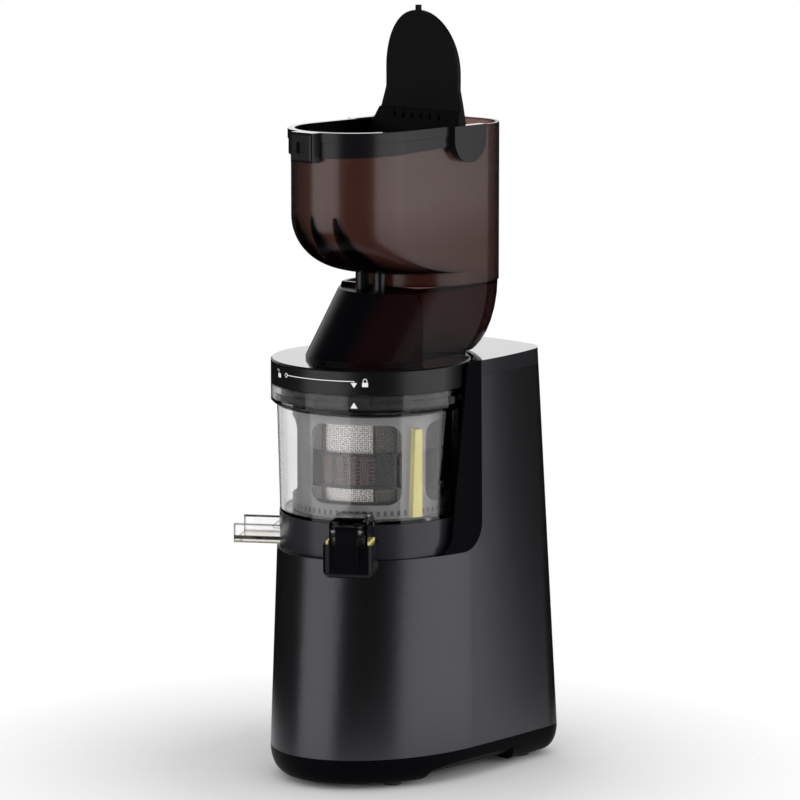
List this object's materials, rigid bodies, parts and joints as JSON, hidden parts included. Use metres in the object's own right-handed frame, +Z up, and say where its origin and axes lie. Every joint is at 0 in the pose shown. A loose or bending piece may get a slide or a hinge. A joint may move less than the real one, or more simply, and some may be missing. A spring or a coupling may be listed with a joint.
{
  "type": "slow juicer",
  "caption": "Upright slow juicer: motor base with tower, bowl with strainer and auger, twist lid, wide smoke hopper with swing flap, gated juice spout and pulp trough.",
  "frame": {"origin": "bowl axis at the plane of the counter", "axes": "+Z up along the bowl and auger axis, -Y to the front, tower at +Y"},
  "size_m": [0.1586, 0.2194, 0.522],
  "materials": {
    "body_grey": "satin",
    "gloss_black": "gloss",
    "pan_black": "fine texture",
    "skirt_grey": "satin",
    "lid_grey": "satin gloss",
    "foot_rubber": "matte",
    "steel": "turned",
    "zinc_steel": "zinc plated",
    "ferrite": "ground",
    "copper_iron": "enamelled",
    "gear_acetal": "moulded",
    "brass": "turned",
    "gearbox_alloy": "die cast",
    "board_green": "solder mask",
    "film_yellow": "gloss",
    "inner_black": "moulded",
    "smoke_clear": "polished, smoke tint",
    "bowl_clear": "polished, clear",
    "silicone_black": "silicone",
    "silicone_yellow": "silicone",
    "mesh_steel": "etched sheet",
    "strainer_grey": "moulded",
    "auger_grey": "satin",
    "trim_grey": "satin"
  },
  "bodies": {
    "base": {"outer_housing": "body_grey", "bowl_bay": "gloss_black", "tower_cap": "gloss_black", "base_pan": "pan_black", "rubber_feet": "foot_rubber", "base_screws": "zinc_steel", "motor_can": "zinc_steel", "stator_magnets": "ferrite", "gearbox_lower": "gearbox_alloy", "gearbox_cover": "gearbox_alloy", "idler_pin": "steel", "shaft_bearings": "steel", "shaft_oil_seal": "silicone_black", "control_board": "board_green", "capacitor": "film_yellow", "reed_sensor": "inner_black", "switch_bezel": "inner_black", "cord_bush": "foot_rubber"},
    "motor": {"motor_rotor": "copper_iron", "motor_pinion": "brass", "cooling_fan": "inner_black"},
    "idler": {"idler_gear": "gear_acetal"},
    "drive": {"output_gear": "gear_acetal", "drive_shaft": "steel"},
    "rocker": {"switch_rocker": "gloss_black"},
    "bowl": {"juicing_bowl": "bowl_clear", "bowl_skirt": "skirt_grey", "bowl_seal": "silicone_black", "pulp_seal": "silicone_yellow", "pinion_pin": "steel", "strainer_frame": "strainer_grey", "strainer_mesh": "mesh_steel", "cap_pin": "steel"},
    "auger": {"auger_screw": "auger_grey", "auger_insert": "steel"},
    "pinion": {"brush_pinion": "gear_acetal"},
    "brush": {"brush_frame": "strainer_grey", "wiper_blades": "silicone_yellow"},
    "spout_gate": {"spout_cap": "gloss_black", "cap_seal": "silicone_yellow"},
    "lid": {"lid": "lid_grey", "lid_magnet": "ferrite", "auger_bush": "gear_acetal", "feed_neck": "smoke_clear", "neck_cover": "gloss_black", "support_posts": "trim_grey", "hopper": "smoke_clear", "rim_trim": "trim_grey", "latch_block": "trim_grey", "hinge_ears": "trim_grey", "hinge_pins": "steel"},
    "flap": {"feed_flap": "gloss_black"}
  },
  "joints": [
    {"name": "motor_spin", "type": "hinge", "parent": "base", "child": "motor", "pos_m": [0, 0, 0.06], "axis": [0, 0, 1], "continuous": true},
    {"name": "idler_spin", "type": "hinge", "parent": "base", "child": "idler", "pos_m": [0, 0.036, 0.12], "axis": [0, 0, 1], "continuous": true},
    {"name": "drive_spin", "type": "hinge", "parent": "base", "child": "drive", "pos_m": [0, 0, 0.16], "axis": [0, 0, 1], "continuous": true},
    {"name": "switch_rock", "type": "hinge", "parent": "base", "child": "rocker", "pos_m": [0, 0.12937, 0.096], "axis": [1, 0, 0], "range_deg": [-8, 8]},
    {"name": "bowl_lift", "type": "slide", "parent": "base", "child": "bowl", "axis": [0, 0, 1], "range_m": [0, 0.08]},
    {"name": "auger_spin", "type": "hinge", "parent": "bowl", "child": "auger", "pos_m": [0, 0, 0.22], "axis": [0, 0, 1], "continuous": true},
    {"name": "pinion_spin", "type": "hinge", "parent": "bowl", "child": "pinion", "pos_m": [0.02544, 0.0159, 0.19], "axis": [0, 0, 1], "continuous": true},
    {"name": "brush_spin", "type": "hinge", "parent": "bowl", "child": "brush", "pos_m": [0, 0, 0.22], "axis": [0, 0, 1], "continuous": true},
    {"name": "gate_swing", "type": "hinge", "parent": "bowl", "child": "spout_gate", "pos_m": [0.04663, -0.07463, 0.181], "axis": [-0.848, -0.5299, 0], "range_deg": [0, 80]},
    {"name": "lid_turn", "type": "hinge", "parent": "bowl", "child": "lid", "pos_m": [0, 0, 0.275], "axis": [0, 0, 1], "range_deg": [0, 35]},
    {"name": "flap_swing", "type": "hinge", "parent": "lid", "child": "flap", "pos_m": [0, 0.0465, 0.431], "axis": [1, 0, 0], "range_deg": [0, 150]}
  ],
  "couplings": [
    {"joint": "idler_spin", "follows": "motor_spin", "ratio": -0.2},
    {"joint": "drive_spin", "follows": "motor_spin", "ratio": 0.04},
    {"joint": "auger_spin", "follows": "motor_spin", "ratio": 0.04},
    {"joint": "pinion_spin", "follows": "motor_spin", "ratio": -0.026667},
    {"joint": "brush_spin", "follows": "motor_spin", "ratio": -0.01}
  ]
}
